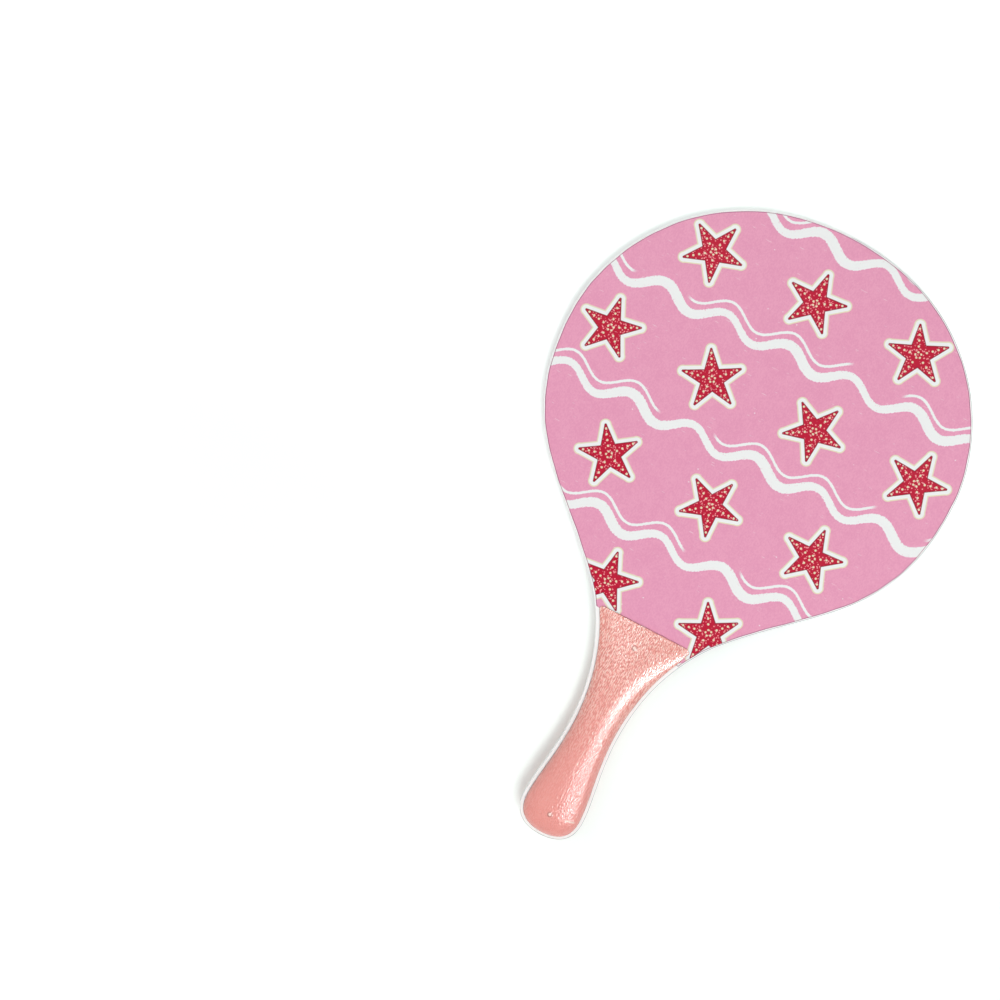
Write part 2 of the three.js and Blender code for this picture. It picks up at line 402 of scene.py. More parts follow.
@dataclass(frozen=True)
class WhitePaint:
    """Thin white paint on plywood, with faint streaks, dust and a painted shade line along its
    edge.
    """

    coat: str = "f8f9f8"
    thin_coat: str = "efede6"
    # grey of the painted shade line along the board's rounded edge
    arris: str = "9c9da1"
    speck: str = "b9b2a2"
    roughness: Span = (0.42, 0.58)
    streaks: Noise = Noise((1.2, 14.0, 0.9), layers=3.0)
    cloud: Noise = Noise((9.0, 17.0, 5.0), shift=0.3)
    cloud_share: float = 0.4
    thin_range: Span = (0.46, 0.66)
    edge_shade_shares: Span = (0.5, 1.0)
    speck_mm: float = 5.0
    speck_range: Span = (0.06, 0.03)
    dusty_range: Span = (0.5, 0.6)
    speck_share: float = 0.6
    relief_mm: float = 0.03

    def material(self, name: str, thinness: float) -> bpy.types.Material:
        """Makes the paint.

        Args:
            name: Name of the material.
            thinness: Share of the thin coat in the streaks, from 0 to 1.

        Returns:
            The material.
        """
        graph = Graph(bpy.data.materials.new(name))
        streaks = graph.noise(self.streaks)
        cloud = graph.noise(self.cloud)
        thin = streaks.mixed(cloud, self.cloud_share).ramp(*self.thin_range) * thinness
        # painted shade: a grey line along the board's rounded outer edge, patchy with the cloud
        arris = graph.attribute("arris") * cloud.between(*self.edge_shade_shares)
        specks = graph.cells(self.speck_mm).ramp(*self.speck_range) * cloud.ramp(*self.dusty_range)
        return graph.paint({
            "Base Color": graph.coats(
                self.coat,
                (thin, self.thin_coat),
                (arris, self.arris),
                (specks * self.speck_share, self.speck),
            ),
            "Roughness": streaks.between(*self.roughness),
            "Normal": graph.bump(streaks, self.relief_mm),
        })


@dataclass(frozen=True)
class CoralPaint:
    """Semi-gloss coral paint over open-pored wood, brushed along the handle.

    Heights are shares of the relief, and places and lengths are in millimetres. A
    range gives the values at which a mark fades in, and shares say how strong the
    mark is at the two ends of what it follows.
    """

    low_coat: str = "f09b93"
    high_coat: str = "f8a59a"
    # darker pores, partly painted shade in the grain
    pore: str = "d17d73"
    # painted sheen: pale glints on the grain's ridges
    ridge_sheen: str = "ffe0d4"
    # pale of the worn scratch, also used for the painted highlights on the brad humps and across
    # the butt
    worn: str = "fde4d8"
    # dark of the painted shade: the contact shadow along the cheek's foot and the ring round each
    # brad's hump
    painted_shade: str = "7a5c54"
    roughness: Span = (0.13, 0.21)
    pore_roughness: float = 0.1
    foot_shade_roughness: float = 0.3
    taper_y: Span = (-165.0, -70.0)
    taper_tone: float = 0.75
    cloud_tone: float = 0.35
    cloud: Noise = Noise((5.0, 11.0, 5.0))
    grain: Noise = Noise((0.42, 1.9, 0.42), layers=0.0, shift=0.6)
    grain_shares: Span = (0.1, 0.9)
    strand_width: float = 1.2
    strand_wander: float = 5.0
    strand_share: float = 0.09
    pore_range: Span = (0.475, 0.425)
    pore_shade_shares: Span = (0.1, 0.7)
    ridge_range: Span = (0.545, 0.595)
    ridge_sheen_shares: Span = (0.1, 0.8)
    ring_inside: Span = (0.75, 1.1)
    ring_outside: Span = (1.9, 1.3)
    ring_shade_share: float = 0.4
    head_glint_range: Span = (1.0, 0.6)
    wear_and_glint_share: float = 0.9
    scratch_y: Span = (-162.0, -121.0)
    scratch_fade: float = 4.0
    scratch_half: float = 0.32
    scratch_wander: float = 0.25
    scratch_wave: float = 9.0
    scratch_break: Noise = Noise((4.0, 3.0, 4.0), layers=1.0, shift=0.9)
    scratch_break_range: Span = (0.4, 0.55)
    # painted glint across the right of the butt
    glint_middle: tuple[float, float] = (11.2, -174.2)
    glint_slope: float = 0.12
    glint_reach: float = 3.4
    glint_fade: float = 1.5
    glint_half: float = 1.0
    foot_shade_range: Span = (0.95, 0.6)
    foot_shade_side_x: Span = (6.0, -6.0)
    foot_shade_shares: Span = (0.5, 0.9)
    grit: Noise = Noise((0.92, 1.7, 0.92), layers=1.0)
    grip_y: Span = (-75.0, -155.0)
    grit_heights: Span = (1.5, 2.9)
    grain_height: float = 0.3
    cloud_height: float = 0.2
    scratch_depth: float = 0.2
    relief_mm: float = 0.15

    def material(self, name: str) -> bpy.types.Material:
        """Makes the paint.

        The wood's grain is noise drawn out along the handle, crossed by strands that
        are a sine of x. Its low places are pores, darkened partly as painted shade, and
        its high ones ridges, which carry a painted sheen.

        Args:
            name: Name of the material.

        Returns:
            The material.
        """
        graph = Graph(bpy.data.materials.new(name))
        x, y = graph.xy_mm
        rise = y.ramp(*self.taper_y)
        cloud = graph.noise(self.cloud)
        tone = (rise * self.taper_tone + cloud * self.cloud_tone).ramp(0.0, 1.0)
        strands = ((x + cloud * self.strand_wander) * (math.tau / self.strand_width)).sine()
        grain = graph.noise(self.grain).between(*self.grain_shares) + strands * self.strand_share
        # darker pores, partly painted shade, and a painted sheen on the ridges; both grow up the
        # taper
        pores = grain.ramp(*self.pore_range)
        ridges = grain.ramp(*self.ridge_range)
        from_brad = graph.attribute("brad_mm")
        # painted shade: a dark ring round each brad's hump
        ring = from_brad.ramp(*self.ring_inside) * from_brad.ramp(*self.ring_outside)
        scratch = self._scratch(graph)
        # the worn scratch, plus painted highlights: a bright spot on each brad's hump and the glint
        # across the butt
        bare = scratch.most(from_brad.ramp(*self.head_glint_range)).most(self._painted_glint(graph))
        # painted shade: a dark contact shadow along the cheek's foot, stronger on the left, away
        # from the light
        painted_shade = graph.attribute("foot_mm").ramp(*self.foot_shade_range)
        painted_shade = painted_shade * x.ramp(*self.foot_shade_side_x).between(*self.foot_shade_shares)
        grit = graph.noise(self.grit) * y.ramp(*self.grip_y).between(*self.grit_heights)
        height = grain * self.grain_height + grit + cloud * self.cloud_height
        rough = cloud.between(*self.roughness) + pores * self.pore_roughness
        return graph.paint({
            "Base Color": graph.coats(
                self.low_coat,
                (tone, self.high_coat),
                (pores * rise.between(*self.pore_shade_shares), self.pore),
                (ridges * rise.between(*self.ridge_sheen_shares), self.ridge_sheen),
                (ring * self.ring_shade_share, self.painted_shade),
                (bare * self.wear_and_glint_share, self.worn),
                (painted_shade, self.painted_shade),
            ),
            "Roughness": rough + painted_shade * self.foot_shade_roughness,
            "Normal": graph.bump(height - scratch * self.scratch_depth, self.relief_mm),
        })

    def _scratch(self, graph: Graph) -> Channel:
        """One fine worn line along the crown of the grip, broken here and there.

        The line is where x, moved by a slow sine of y, is under half its width.

        Args:
            graph: The material's graph.

        Returns:
            1 on the line and 0 off it.
        """
        x, y = graph.xy_mm
        low_y, high_y = self.scratch_y
        wander = (y / self.scratch_wave).sine() * self.scratch_wander
        line = abs(x - wander).ramp(self.scratch_half, 0.0)
        ends = y.ramp(low_y, low_y + self.scratch_fade) * y.ramp(high_y, high_y - self.scratch_fade)
        return line * ends * graph.noise(self.scratch_break).ramp(*self.scratch_break_range)

    def _painted_glint(self, graph: Graph) -> Channel:
        """A painted glint: one short bright line across the right of the butt, fading at its ends.

        The line is where y lies within half its width of a straight, slightly
        leaning line through its middle.

        Args:
            graph: The material's graph.

        Returns:
            1 on the line and 0 off it.
        """
        x, y = graph.xy_mm
        middle_x, middle_y = self.glint_middle
        along = x - middle_x
        line = abs(y - middle_y - along * self.glint_slope).ramp(self.glint_half, 0.0)
        return line * abs(along).ramp(self.glint_reach, self.glint_reach - self.glint_fade)


@dataclass(frozen=True)
class PaintedSteel:
    """A steel brad whose head is painted over with the cheek."""

    coat: str = "eda69e"
    steel: str = "9a9690"
    roughness: Span = (0.24, 0.44)
    grain: Noise = Noise((0.5, 0.5, 0.5), layers=3.0)
    chip_range: Span = (0.66, 0.7)
    chip_metal: float = 0.9
    chip_depth: float = 0.5
    relief_mm: float = 0.02

    def material(self, name: str) -> bpy.types.Material:
        """Makes the painted steel, bare steel showing in small chips.

        Args:
            name: Name of the material.

        Returns:
            The material.
        """
        graph = Graph(bpy.data.materials.new(name))
        grain = graph.noise(self.grain)
        chips = grain.ramp(*self.chip_range)
        return graph.paint({
            "Base Color": graph.coats(self.coat, (chips, self.steel)),
            "Roughness": grain.between(*self.roughness),
            "Metallic": chips * self.chip_metal,
            "Normal": graph.bump(grain - chips * self.chip_depth, self.relief_mm),
        })


@dataclass(frozen=True)
class BeachPrint:
    """Pink film printed with rows of sea stars between brushed white waves.

    Lengths are in millimetres and turns in radians. A range gives the values at
    which a mark fades in, from 0 at the first to 1 at the second.
    """

    ground: str = "eba3bf"
    ground_shade: str = "e599b8"
    brush_white: str = "f0f2f1"
    rim_cream: str = "e6dfc0"
    crimson: str = "be0832"
    crimson_edge: str = "8a082a"
    dot: str = "f4a3aa"
    worn: str = "f6eef0"
    film_edge: str = "8e4f68"
    roughness: Span = (0.36, 0.48)
    worn_roughness: float = 0.2
    sheen: float = 0.1
    fine: Noise = Noise((0.9, 1.3, 0.9))
    cloud: Noise = Noise((7.0, 9.0, 7.0), layers=3.0, shift=0.4)
    mottle_cloud: float = 0.3
    mottle_range: Span = (0.35, 0.65)
    relief_cloud: float = 0.4
    worn_depth: float = 0.5
    relief_mm: float = 0.02
    edge_range: Span = (0.6, 0.2)
    edge_share: float = 0.8
    softness: float = 0.16
    row_pitch: float = 64.0
    column_pitch: float = 64.0
    first_row_y: float = 20.0
    row_turn: float = 1.7
    column_turn: float = 0.9
    arms: int = 5
    arm_length: float = 17.0
    arm_root_half: float = 8.6
    arm_tip_half: float = 3.4
    rim_width: float = 0.7
    border_width: float = 2.7
    edge_width: float = 0.55
    bead_pitch: float = 3.3
    bead_radius: float = 0.62
    bead_start: Span = (1.0, 1.4)
    dot_pitch: float = 1.35
    dot_range: Span = (0.36, 0.24)
    dot_share: float = 0.85
    wave_rise: float = 4.6
    wave_length: float = 39.0
    wave_turn: float = 1.9
    wave_half: float = 2.5
    ripple_gap: float = 7.0
    ripple_half: float = 0.75
    brush_rough: float = 1.1
    ripple_rough: float = 0.6
    press: float = 0.45
    press_length: float = 13.0
    gap_length: float = 21.0
    gap_turn: float = 2.3
    gap_range: Span = (-0.75, -0.6)
    dry: Noise = Noise((0.7, 0.7, 0.7), layers=1.0, shift=0.15)
    dry_range: Span = (0.68, 0.75)
    dry_middle: Span = (-2.2, -0.6)
    dry_share: float = 0.8
    ragged: Noise = Noise((1.1, 1.1, 1.1), shift=0.5)
    ragged_depth: float = 1.6
    ragged_range: Span = (0.62, 0.5)
    scuff: Noise = Noise((6.0, 0.5, 6.0), layers=1.0, shift=0.7)
    scuff_range: Span = (0.73, 0.78)
    scuff_share: float = 0.6
    fleck_pitch: float = 11.0
    fleck_range: Span = (0.045, 0.02)
    fleck_share: float = 0.8

    def material(self, name: str) -> bpy.types.Material:
        """Makes the printed film.

        Args:
            name: Name of the material.

        Returns:
            The material.
        """
        graph = Graph(bpy.data.materials.new(name))
        fine = graph.noise(self.fine)
        cloud = graph.noise(self.cloud)
        mottle = fine.mixed(cloud, self.mottle_cloud).ramp(*self.mottle_range)
        colour = graph.coats(self.ground, (mottle, self.ground_shade))
        colour = self._waves(graph, fine, colour)
        colour = self._stars(graph, colour)
        wear = self._wear(graph)
        edge = graph.attribute("rim_mm").ramp(*self.edge_range) * self.edge_share
        height = fine.mixed(cloud, self.relief_cloud) - wear * self.worn_depth
        return graph.paint({
            "Base Color": graph.coats(colour, (wear, self.worn), (edge, self.film_edge)),
            "Roughness": cloud.between(*self.roughness) + wear * self.worn_roughness,
            "Specular IOR Level": self.sheen,
            "Normal": graph.bump(height, self.relief_mm),
        })

    def _mark(self, distance: Channel) -> Channel:
        """1 inside a printed shape and 0 outside, from the distance outside its edge."""
        return distance.ramp(self.softness, -self.softness)

    def _stars(self, graph: Graph, ground: bpy.types.NodeSocket) -> bpy.types.NodeSocket:
        """Lays the rows of sea stars over the ground, every other row set over by half.

        A star is its arm turned five times: with the place in polar form about the
        star's middle, the angle is folded into one fifth of a turn, and the arm's
        edge is where the distance from its axis equals a half-width that shrinks
        evenly from root to tip, with a round end.

        Args:
            graph: The material's graph.
            ground: Colour under the stars.

        Returns:
            The colour with the stars.
        """
        x, y = graph.xy_mm
        rows = (y - self.first_row_y) / self.row_pitch + 0.5
        row = rows.floor()
        columns = x / self.column_pitch + 0.5 + (row % 2.0) * 0.5
        column = columns.floor()
        across = (columns - column - 0.5) * self.column_pitch
        along = (rows - row - 0.5) * self.row_pitch
        turn = along.angle_over(across) + row * self.row_turn + column * self.column_turn
        folded = turn.wrapped(math.pi / self.arms)
        reach = along.length_with(across)
        out = reach * folded.cosine()
        aside = abs(reach * folded.sine())
        share = (out / self.arm_length).least(1.0).most(0.0)
        half = self.arm_root_half - share * (self.arm_root_half - self.arm_tip_half)
        outside = (out - self.arm_length).most(0.0).length_with(aside) - half
        heart = self._mark(outside + (self.border_width + self.edge_width))
        bead_out = (out - self.bead_pitch / 2.0).wrapped(self.bead_pitch / 2.0)
        bead = self._mark(bead_out.length_with(aside) - self.bead_radius)
        dots = graph.cells(self.dot_pitch).ramp(*self.dot_range) * heart * self.dot_share
        return graph.coats(
            ground,
            (self._mark(outside), self.rim_cream),
            (self._mark(outside + self.rim_width), self.brush_white),
            (self._mark(outside + self.border_width), self.crimson_edge),
            (heart, self.crimson),
            (dots, self.dot),
            (bead * out.ramp(*self.bead_start) * heart, self.rim_cream),
        )

    def _waves(
        self, graph: Graph, fine: Channel, ground: bpy.types.NodeSocket
    ) -> bpy.types.NodeSocket:
        """Lays a brushed wave and a thin ripple over it midway between star rows.

        A line is where the distance from its middle, a sine of x, is under half its
        width, with the distance made shorter by noise for a brushed edge.

        Args:
            graph: The material's graph.
            fine: Fine noise for the brushed edges.
            ground: Colour under the waves.

        Returns:
            The colour with the waves.
        """
        x, y = graph.xy_mm
        half_pitch = self.row_pitch / 2.0
        from_middle = (y - (self.first_row_y + half_pitch)).wrapped(half_pitch)
        row = ((y - self.first_row_y) / self.row_pitch).floor()
        phase = x * (math.tau / self.wave_length) + row * self.wave_turn
        swing = phase.sine() * self.wave_rise
        slope = phase.cosine() * (self.wave_rise * math.tau / self.wave_length)
        lean = 1.0 / (slope * slope + 1.0).root()
        rough = (fine - 0.5) * self.brush_rough
        pressed = (x / self.press_length + row).sine() * self.press
        wave = abs(from_middle - swing) * lean - self.wave_half - pressed + rough
        ripple = abs(from_middle - swing - self.ripple_gap) * lean - self.ripple_half
        ripple = ripple + rough * self.ripple_rough
        gaps = (x / self.gap_length + row * self.gap_turn).sine().ramp(*self.gap_range)
        dry = graph.noise(self.dry).ramp(*self.dry_range) * wave.ramp(*self.dry_middle)
        return graph.coats(
            ground,
            (self._mark(wave) * (1.0 - dry * self.dry_share), self.brush_white),
            (self._mark(ripple) * gaps, self.brush_white),
        )

    def _wear(self, graph: Graph) -> Channel:
        """Chips at the film's rim and a few fine scuffs inside it.

        Args:
            graph: The material's graph.

        Returns:
            1 where the print is worn away.
        """
        ragged = graph.attribute("rim_mm") + graph.noise(self.ragged) * self.ragged_depth
        scuffs = graph.noise(self.scuff).ramp(*self.scuff_range) * self.scuff_share
        flecks = graph.cells(self.fleck_pitch).ramp(*self.fleck_range) * self.fleck_share
        return ragged.ramp(*self.ragged_range).most(scuffs).most(flecks)


@dataclass(frozen=True)
class StudioWhite:
    """Matt white floor that the camera sees a little brighter than it is lit."""

    colour: str = "e9f2ee"
    glow: Span = (0.22, 0.34)
    glow_y_mm: Span = (-70.0, 40.0)
    far_glow: float = 0.9
    far_m: Span = (0.25, 1.2)

    def material(self, name: str) -> bpy.types.Material:
        """Makes the floor's paint.

        The glow is for camera and mirror rays only. It grows from the handle to the
        blade, and away from the racket, where the lamps don't reach.

        Args:
            name: Name of the material.

        Returns:
            The material.
        """
        graph = Graph(bpy.data.materials.new(name))
        seen = graph.rays("Camera", "Glossy", "Transmission")
        x, y = graph.xy_mm
        far = (x.length_with(y) * MM).ramp(*self.far_m) * self.far_glow
        # painted light: the glow rises from the handle to the blade, lightening the racket's cast
        # shadow beside the blade
        near = y.ramp(*self.glow_y_mm).between(*self.glow)
        matt = graph.node("ShaderNodeBsdfDiffuse", None, {"Color": tint(self.colour)})
        glow = graph.node("ShaderNodeEmission", None, {"Strength": seen * (far + near)})
        both = {0: matt.outputs[0], 1: glow.outputs[0]}
        return graph.finish(graph.node("ShaderNodeAddShader", None, both))


# Mesh kit

def put(name: str, data: bpy.types.ID) -> bpy.types.Object:
    """Puts a mesh, a light or a camera into the scene.

    Args:
        name: Name of the object.
        data: The mesh, light or camera.

    Returns:
        The object.
    """
    made = bpy.data.objects.new(name, data)
    bpy.context.scene.collection.objects.link(made)
    return made


class Shell:
    """A closed surface put together from grids and flat polygons that share borders."""

    def __init__(self) -> None:
        """Starts an empty surface."""
        self.points: list[Array] = []
        self.faces: list[list[int]] = []
        self.values: list[Mapping[str, Array | float]] = []

    def _take(self, points: Array, values: Mapping[str, Array | float]) -> int:
        """Adds points and the values stored on them.

        Args:
            points: The points, in any grid.
            values: Numbers stored on them, by name.

        Returns:
            The number of the first of the points.
        """
        first = sum(len(part) for part in self.points)
        self.points.append(np.reshape(points, (-1, 3)))
        self.values.append(values)
        return first

    def _gathered(self, name: str) -> Array:
        """One value over all points, zero where a part hasn't got it.

        Args:
            name: Name of the value.

        Returns:
            The value at each point.
        """
        parts = [np.ravel(values.get(name, 0.0)) for values in self.values]
        shares = [np.broadcast_to(part, len(points)) for part, points in zip(parts, self.points)]
        return np.concatenate(shares).astype(np.float32)

    def add_grid(self, points: Array, **values: Array | float) -> None:
        """Adds a grid of points as quads.

        The quad at row r and column c joins points (r, c), (r, c + 1),
        (r + 1, c + 1) and (r + 1, c).

        Args:
            points: Rows by columns by three.
            values: Numbers stored on the points, rows by columns or one for all.
        """
        rows, columns = points.shape[:2]
        first = self._take(points, values)
        numbers = first + np.arange(rows * columns).reshape(rows, columns)
        corners = [numbers[:-1, :-1], numbers[:-1, 1:], numbers[1:, 1:], numbers[1:, :-1]]
        self.faces.extend(np.stack(corners, axis=-1).reshape(-1, 4).tolist())

    def add_polygon(self, points: Array) -> None:
        """Adds one flat face, its corners in order."""
        first = self._take(points, {})
        self.faces.append(list(range(first, first + len(points))))

    def build(self, name: str) -> bpy.types.Object:
        """Makes the mesh: shared corners merged, faces outwards, creases sharp.

        Args:
            name: Name of the piece.

        Returns:
            The new object, at the origin, with the named values on its points.
        """
        mesh = bpy.data.meshes.new(name)
        mesh.from_pydata(np.concatenate(self.points).tolist(), [], self.faces)
        for value_name in sorted({key for values in self.values for key in values}):
            stored = mesh.attributes.new(value_name, "FLOAT", "POINT")
            stored.data.foreach_set("value", self._gathered(value_name))
        work = bmesh.new()
        work.from_mesh(mesh)
        bmesh.ops.remove_doubles(work, verts=work.verts, dist=SAME_POINT)
        bmesh.ops.dissolve_degenerate(work, dist=SAME_POINT, edges=work.edges)
        bmesh.ops.recalc_face_normals(work, faces=work.faces)
        work.to_mesh(mesh)
        work.free()
        mesh.shade_smooth()
        mesh.set_sharp_from_angle(angle=CREASE_ANGLE)
        return put(name, mesh)


def dress(piece: bpy.types.Object, material: bpy.types.Material, slot: Slot, node: str) -> None:
    """Paints a new piece, ties it to the racket and lets it stand for its node.

    Args:
        piece: The new piece.
        material: Its finish.
        slot: The record's slot for that finish.
        node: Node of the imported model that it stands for.
    """
    piece.data.materials.append(material)
    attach(piece, BODY)
    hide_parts(node)
    LOG.info("%s: %d faces, %s", piece.name, len(piece.data.polygons), slot.value)


def quarter(steps: int) -> Array:
    """Angles of a quarter turn, from zero, in even steps."""
    return np.linspace(0.0, math.pi / 2.0, steps + 1)


# Outline

@dataclass(frozen=True)
class BoardOutline:
    """The board's outline: five curves through butt, swell, waist, neck, widest line and tip."""

    length: float
    width: float
    widest_from_butt: float = 271.0 * MM
    neck_width: float = 81.7 * MM
    neck_from_butt: float = 142.3 * MM
    waist_width: float = 28.6 * MM
    waist_from_butt: float = 66.7 * MM
    swell_width: float = 37.8 * MM
    swell_from_butt: float = 17.0 * MM
    neck_lean: float = math.radians(41.7)
    tip_crown_share: float = 0.686
    tip_side_share: float = 0.42
    flank_side_share: float = 0.475
    flank_neck_share: float = 0.39
    neck_flank_share: float = 0.17
    neck_waist_share: float = 0.5
    grip_waist_share: float = 0.41
    grip_swell_share: float = 0.26
    butt_side_share: float = 0.7
    butt_end_share: float = 0.6
    steps: tuple[int, int, int, int, int] = (40, 36, 60, 70, 90)

    @classmethod
    def from_frame(cls) -> "BoardOutline":
        """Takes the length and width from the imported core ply."""
        low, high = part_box("core_ply")
        return cls(length=high.y - low.y, width=high.x - low.x)

    @property
    def butt_y(self) -> float:
        """Height of the butt end along the racket."""
        return -self.length / 2.0

    def _stretches(self) -> list[tuple[Array, Array, Array, Array]]:
        """Makes out the five curves of the right half, butt to tip.

        Returns:
            The four control points of each curve.
        """
        across = np.array([1.0, 0.0])
        along = np.array([0.0, 1.0])
        leaning = np.array([math.sin(self.neck_lean), math.cos(self.neck_lean)])
        butt = np.array([0.0, self.butt_y])
        swell = np.array([self.swell_width / 2.0, self.butt_y + self.swell_from_butt])
        waist = np.array([self.waist_width / 2.0, self.butt_y + self.waist_from_butt])
        neck = np.array([self.neck_width / 2.0, self.butt_y + self.neck_from_butt])
        widest = np.array([self.width / 2.0, self.butt_y + self.widest_from_butt])
        tip = np.array([0.0, self.length / 2.0])
        grip = waist[1] - swell[1]
        throat = float(np.linalg.norm(neck - waist))
        flank = float(np.linalg.norm(widest - neck))
        crown = tip[1] - widest[1]
        return [
            (butt, butt + across * swell[0] * self.butt_end_share,
             swell - along * self.swell_from_butt * self.butt_side_share, swell),
            (swell, swell + along * grip * self.grip_swell_share,
             waist - along * grip * self.grip_waist_share, waist),
            (waist, waist + along * throat * self.neck_waist_share,
             neck - leaning * throat * self.neck_flank_share, neck),
            (neck, neck + leaning * flank * self.flank_neck_share,
             widest - along * flank * self.flank_side_share, widest),
            (widest, widest + along * crown * self.tip_side_share,
             tip + across * widest[0] * self.tip_crown_share, tip),
        ]

    def half(self, inset: float | Callable[[Array], Array] = 0.0) -> Array:
        """Points of the right half of the outline, butt to tip, moved inwards.

        A stretch with control points a, b, c and d is the cubic curve
        s^3 a + 3 s^2 t b + 3 s t^2 c + t^3 d with s = 1 - t. Each point then moves
        along the inward normal, which is the unit tangent turned a quarter turn left.

        Args:
            inset: Way inwards, one for all or worked out from the points' y.

        Returns:
            Points by x and y.
        """
        points = []
        normals = []
        for (a, b, c, d), steps in zip(self._stretches(), self.steps):
            t = np.linspace(0.0, 1.0, steps + 1)[1 if points else 0:, None]
            s = 1.0 - t
            points.append(s ** 3 * a + 3 * s ** 2 * t * b + 3 * s * t ** 2 * c + t ** 3 * d)
            slope = s ** 2 * (b - a) + 2 * s * t * (c - b) + t ** 2 * (d - c)
            tangent = slope / np.linalg.norm(slope, axis=1, keepdims=True)
            normals.append(np.column_stack([-tangent[:, 1], tangent[:, 0]]))
        outline = np.concatenate(points)
        inward = np.concatenate(normals)
        way = inset(outline[:, 1]) if callable(inset) else np.full(len(outline), inset)
        moved = outline + inward * way[:, None]
        moved[[0, -1], 0] = 0.0
        return moved


@dataclass(frozen=True)
class CutLine:
    """The straight, slightly crooked cut that ends a printed sheet under the cheek."""

    middle_y: float
    slope: float

    def height(self, x: Array) -> Array:
        """Height of the cut along the racket, middle plus slope times x."""
        return self.middle_y + self.slope * x

    def seen_from(self, side: Side) -> "CutLine":
        """The cut in the coordinates of a side, where x is turned over at the back."""
        return CutLine(self.middle_y, self.slope * side.value)


# Board

def edge_profile(low: float, high: float, low_round: float, high_round: float, lip: float) -> Array:
    """Section of a board's edge, from inside its low face to inside its high face.

    Each corner is a quarter circle: at a turn t the low one has inset r(1 - sin t)
    and height low + r(1 - cos t), and the high one is the same upside down.

    Args:
        low: Height of the low face.
        high: Height of the high face.
        low_round: Radius at the low face.
        high_round: Radius at the high face.
        lip: Way that each end runs in over its face.

    Returns:
        Inset and height of each point of the section.
    """
    turn = quarter(EDGE_STEPS)
    inwards = 1.0 - np.sin(turn)
    upwards = 1.0 - np.cos(turn)
    below = np.column_stack([low_round * inwards, low + low_round * upwards])
    above = np.column_stack([high_round * upwards, high - high_round * inwards])
    first = np.array([[low_round + lip, low]])
    last = np.array([[high_round + lip, high]])
    return np.concatenate([first, below, above, last])


@dataclass(frozen=True)
class Board:
    """Five plies glued face to face, sawn to one outline and painted white."""

    outline: BoardOutline
    paint: WhitePaint = field(default_factory=WhitePaint)
    edge_round: float = 0.28 * MM
    joint_round: float = 0.08 * MM
    lip: float = 0.3 * MM
    sanding: float = 0.05 * MM
    sanding_wave: float = 6.5 * MM
    sanding_turn: float = 2.4
    face_thinness: float = 0.35
    end_thinness: float = 1.0
    # share of the painted edge shade on the left side, away from the butt
    left_edge_shade: float = 0.15
    butt_edge_shade_length: float = 12.0 * MM
    plies: tuple[tuple[str, str], ...] = (
        ("face_ply_back", "back_face_of_board"),
        ("cross_ply_back", "back_cross_layer"),
        ("core_ply", "middle_layer"),
        ("cross_ply_front", "front_cross_layer"),
        ("face_ply_front", "front_face_of_board"),
    )

    def build(self) -> None:
        """Makes and paints the plies; the cross plies show their end grain through the paint."""
        faces = self.paint.material("white_paint_on_face_ply", self.face_thinness)
        ends = self.paint.material("white_paint_on_cross_ply", self.end_thinness)
        for level, (node, name) in enumerate(self.plies):
            crossed = level % 2 == 1
            dress(self.ply(node, name, level), ends if crossed else faces, Slot.WHITE_PLY, node)

    def ply(self, node: str, name: str, level: int) -> bpy.types.Object:
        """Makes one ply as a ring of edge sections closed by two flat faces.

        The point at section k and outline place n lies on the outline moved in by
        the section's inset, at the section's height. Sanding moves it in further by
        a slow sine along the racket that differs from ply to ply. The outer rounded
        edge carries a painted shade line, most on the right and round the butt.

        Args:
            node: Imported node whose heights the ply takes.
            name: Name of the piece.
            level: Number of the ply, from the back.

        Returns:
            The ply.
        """
        low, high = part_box(node)
        low_round = self.edge_round if level == 0 else self.joint_round
        high_round = self.edge_round if level == len(self.plies) - 1 else self.joint_round
        profile = edge_profile(low.z, high.z, low_round, high_round, self.lip)

        def ring(inset: float, height: float) -> Array:
            """The outline at one point of the section."""
            line = self.outline.half(lambda y: inset + self._sanded(y, level))
            return np.column_stack([line, np.full(len(line), height)])

        right = np.stack([ring(inset, height) for inset, height in profile])
        left = right * np.array([-1.0, 1.0, 1.0])
        # painted shade along the outer rounded edge: weak on the left, full on the right and round
        # the butt
        worn = self._edge_shade_rows(profile, level)
        from_butt = (self.outline.butt_y - left[..., 1]) / self.butt_edge_shade_length
        left_share = np.clip(from_butt + 1.0, self.left_edge_shade, 1.0)
        shell = Shell()
        shell.add_grid(right, arris=np.broadcast_to(worn, right.shape[:2]))
        shell.add_grid(left, arris=worn * left_share)
        shell.add_grid(np.stack([right[0], left[0]], axis=1))
        shell.add_grid(np.stack([right[-1], left[-1]], axis=1))
        return shell.build(name)

    def _edge_shade_rows(self, profile: Array, level: int) -> Array:
        """Painted shade: 1 at the sections on the board's outer rounded edge and 0 at the others.

        Args:
            profile: Inset and height of each section.
            level: Number of the ply, from the back.

        Returns:
            The painted shade of each section, in one column.
        """
        inset, height = profile.T
        outer = {
            0: height < height.min() + self.edge_round,
            len(self.plies) - 1: height > height.max() - self.edge_round,
        }
        worn = outer.get(level, np.zeros(len(profile), bool)) & (inset < inset.max())
        return worn[:, None].astype(float)

    def _sanded(self, y: Array, level: int) -> Array:
        """How far sanding has taken the edge in, half a sine of y that is never negative."""
        wave = np.sin(y / self.sanding_wave + self.sanding_turn * level)
        return self.sanding * (0.5 + 0.5 * wave)


# Printed sheets

